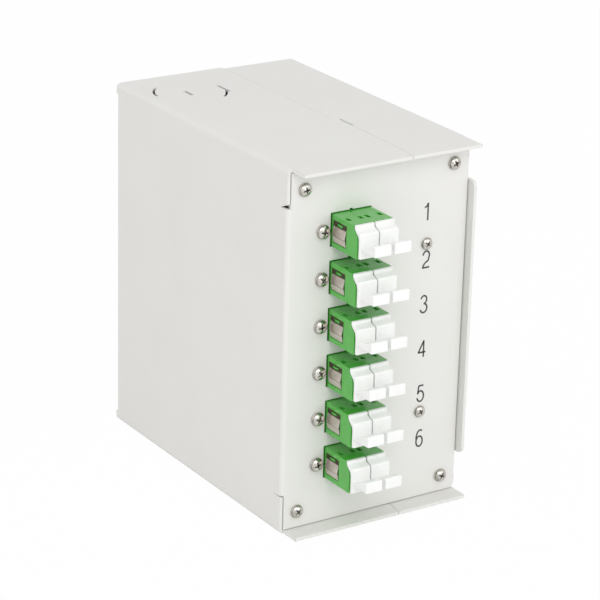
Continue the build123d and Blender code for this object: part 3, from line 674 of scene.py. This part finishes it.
# Middles of the numbers in mm, across from the left wall and up from the underside
number_places = [(46.75, 89.5), (47.2, 75.1), (47.1, 61.6), (47.1, 47.8), (47.3, 34.0), (47.5, 19.7)]


def arc(x, z, rx, rz, start, end, steps=20):
    """Points of an elliptical arc, angles in degrees."""
    angle = np.radians(np.linspace(start, end, steps))
    return np.stack([x + rx * np.cos(angle), z + rz * np.sin(angle)], axis=-1)


def digit_lines(digit):
    """Centre lines of a narrow sans digit in a box one wide and one high."""
    line = np.array
    if digit == 1:
        return [np.concatenate([arc(0.22, 1.06, 0.42, 0.29, -90, -12, 8), [[0.64, 1.0], [0.64, 0.0]]])]
    if digit == 2:
        top = arc(0.50, 0.74, 0.40, 0.26, 175, -30)
        neck = arc(1.05, -0.02, 0.95, 0.46, 108, 178, 10)
        return [np.concatenate([top, neck]), line([[0.10, 0.04], [0.93, 0.04]])]
    if digit == 3:
        return [arc(0.48, 0.765, 0.36, 0.235, 165, -90), arc(0.48, 0.265, 0.42, 0.265, 90, -165)]
    if digit == 4:
        return [line([[0.72, 0.0], [0.72, 0.98], [0.06, 0.30], [0.98, 0.30]])]
    if digit == 5:
        start = line([[0.84, 0.96], [0.26, 0.96], [0.14, 0.46]])
        return [np.concatenate([start, arc(0.48, 0.32, 0.42, 0.32, 130, -165)])]
    loop = arc(0.52, 0.32, 0.40, 0.31, 180, 540, 40)
    return [arc(0.60, 0.52, 0.48, 0.48, 60, 200), loop]


def ribbon(line, width, thickness):
    """A flat stroke on the panel: the line is moved half the width to each side, along its normal."""
    along = np.gradient(line, axis=0)
    along /= np.maximum(np.linalg.norm(along, axis=1, keepdims=True), 1e-12)
    side = np.stack([-along[:, 1], along[:, 0]], axis=-1) * width / 2
    lower, upper = line - side, line + side
    printed = panel_face - thickness
    corners = [(lower, panel_face), (upper, panel_face), (upper, printed), (lower, printed)]
    ring = [np.stack([rim[:, 0], np.full(len(line), y), rim[:, 1]], axis=-1) for rim, y in corners]
    return np.stack(ring, axis=1)


def resample(line, gap):
    """Points at an even gap along a line, so that its corners stay crisp."""
    step = np.linalg.norm(np.diff(line, axis=0), axis=1)
    reach = np.concatenate([[0], np.cumsum(step)])
    count = max(int(reach[-1] / gap), 2)
    at = np.linspace(0, reach[-1], count + 1)
    return np.stack([np.interp(at, reach, line[:, 0]), np.interp(at, reach, line[:, 1])], axis=-1)


def closed_ends(ring):
    """Repeats the first and last section as a point, which closes the stroke's ends."""
    first = np.repeat(ring[:1].mean(1, keepdims=True), ring.shape[1], axis=1)
    last = np.repeat(ring[-1:].mean(1, keepdims=True), ring.shape[1], axis=1)
    return np.concatenate([first, ring, last])


def panel_numbers():
    """The numbers 1 to 6 as raised ink; a digit's later stroke lies print_lap above the one before."""
    grids = []
    for digit, (x, z) in enumerate(number_places, start=1):
        corner = np.array([left_wall + x * mm - digit_width / 2, underside + z * mm - digit_height / 2])
        for lap, line in enumerate(digit_lines(digit)):
            scaled = corner + line * np.array([digit_width, digit_height])
            raised = ribbon(resample(scaled, print_step), stroke, print_height + lap * print_lap)
            grids.append((closed_ends(raised), True))
    data = mesh_from("panel_numbers", grids)
    data.shade_flat()
    piece = link_mesh("panel_numbers", data)
    data.materials.append(ink)
    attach(piece, body_of_node["housing"])


panel_numbers()


# Edges of the sheet metal and of the moulded pieces; the other nodes keep the CAD's own mesh

fine_edge = 0.12 * mm
zinc_edge = 0.15 * mm
cap_edge = 0.22 * mm
cap_edge_segments = 3

for name in sorted(frame["nodes"]):
    kind = slot_of_node[name]
    if name in ("housing", "side_cover") or kind == "green_plastic":
        eased(name, fine_edge)
    elif kind == "cap_plastic":
        eased(name, cap_edge, cap_edge_segments)
    elif name in ("din_bracket", "din_latch"):
        eased(name, zinc_edge)
    elif not frame["nodes"][name].hide_render:
        node = frame["nodes"][name]
        node.data.materials.clear()
        node.data.materials.append(materials[kind])


# Floor, world, lights and camera

floor_reach = 3.0
floor_drop = 0.05 * mm
floor_white = 0.97
world_level = 0.75
lamp_size = 0.7
lamps = [
    ("key_light", (-0.35, -0.85, 0.75), 3.35),
    ("left_light", (-0.95, 0.05, 0.45), 0.8),
    ("front_light", (0.4, -1.1, 0.25), 1.95),
]


def floor_material():
    """White studio paper: near white to the camera, and it keeps a soft shadow."""
    made = bpy.data.materials.new("white_paper")
    made.use_nodes = True
    tree = made.node_tree
    tree.nodes.clear()
    paper = add(tree, "ShaderNodeBsdfDiffuse", {"Color": linear("#f4f4f4")}).outputs[0]
    glow = add(tree, "ShaderNodeEmission", {"Color": (1, 1, 1, 1), "Strength": 1.0}).outputs[0]
    path = add(tree, "ShaderNodeLightPath")
    share = add(tree, "ShaderNodeMath", {"operation": "MULTIPLY"})
    tree.links.new(path.outputs["Is Camera Ray"], share.inputs[0])
    share.inputs[1].default_value = floor_white
    mix = add(tree, "ShaderNodeMixShader")
    tree.links.new(share.outputs[0], mix.inputs[0])
    tree.links.new(paper, mix.inputs[1])
    tree.links.new(glow, mix.inputs[2])
    out = add(tree, "ShaderNodeOutputMaterial")
    tree.links.new(mix.outputs[0], out.inputs["Surface"])
    return made


def make_floor():
    """A wide square of paper that lies just under the box, and is staging rather than a piece of it."""
    level = underside - floor_drop
    signs = [(-1, -1), (1, -1), (1, 1), (-1, 1)]
    data = bpy.data.meshes.new("floor")
    data.from_pydata([(x * floor_reach, y * floor_reach, level) for x, y in signs], [], [(0, 1, 2, 3)])
    data.materials.append(floor_material())
    link_mesh("floor", data)


def make_world(light):
    """Even surroundings: white to the camera, in reflections and through clear pieces, dimmer as light."""
    world = bpy.data.worlds.new("studio")
    bpy.context.scene.world = world
    world.use_nodes = True
    tree = world.node_tree
    back = tree.nodes["Background"]
    back.inputs["Color"].default_value = (1, 1, 1, 1)
    path = add(tree, "ShaderNodeLightPath")
    plain = path.outputs["Is Camera Ray"]
    for ray in ("Is Glossy Ray", "Is Transmission Ray"):
        either = add(tree, "ShaderNodeMath", {"operation": "MAXIMUM"})
        tree.links.new(plain, either.inputs[0])
        tree.links.new(path.outputs[ray], either.inputs[1])
        plain = either.outputs[0]
    level = add(tree, "ShaderNodeMapRange", {"To Min": light, "To Max": 1.0}, Value=plain)
    tree.links.new(level.outputs[0], back.inputs["Strength"])


def area_light(name, place, size, power):
    """A square soft light that looks at the middle of the object."""
    data = bpy.data.lights.new(name, "AREA")
    data.size = size
    data.energy = power
    lamp = bpy.data.objects.new(name, data)
    bpy.context.scene.collection.objects.link(lamp)
    target = (cad_low + cad_high) / 2
    lamp.location = place
    lamp.rotation_mode = "QUATERNION"
    lamp.rotation_quaternion = (target - Vector(place)).to_track_quat("-Z", "Y")


def make_camera():
    """The photograph's camera, turned so that its right and up directions are those given above."""
    data = bpy.data.cameras.new("photo_camera")
    data.sensor_width = sensor_width
    data.lens = camera_lens
    data.clip_start = 0.05
    data.clip_end = 20
    camera = bpy.data.objects.new("photo_camera", data)
    bpy.context.scene.collection.objects.link(camera)
    backward = camera_right.cross(camera_up)
    turn = Matrix((camera_right, camera_up, backward)).transposed()
    camera.rotation_mode = "QUATERNION"
    camera.rotation_quaternion = turn.to_quaternion()
    camera.location = camera_place
    bpy.context.scene.camera = camera


make_floor()
make_world(world_level)
for name, place, power in lamps:
    area_light(name, place, lamp_size, power)
make_camera()
bpy.context.scene.view_settings.view_transform = "Standard"
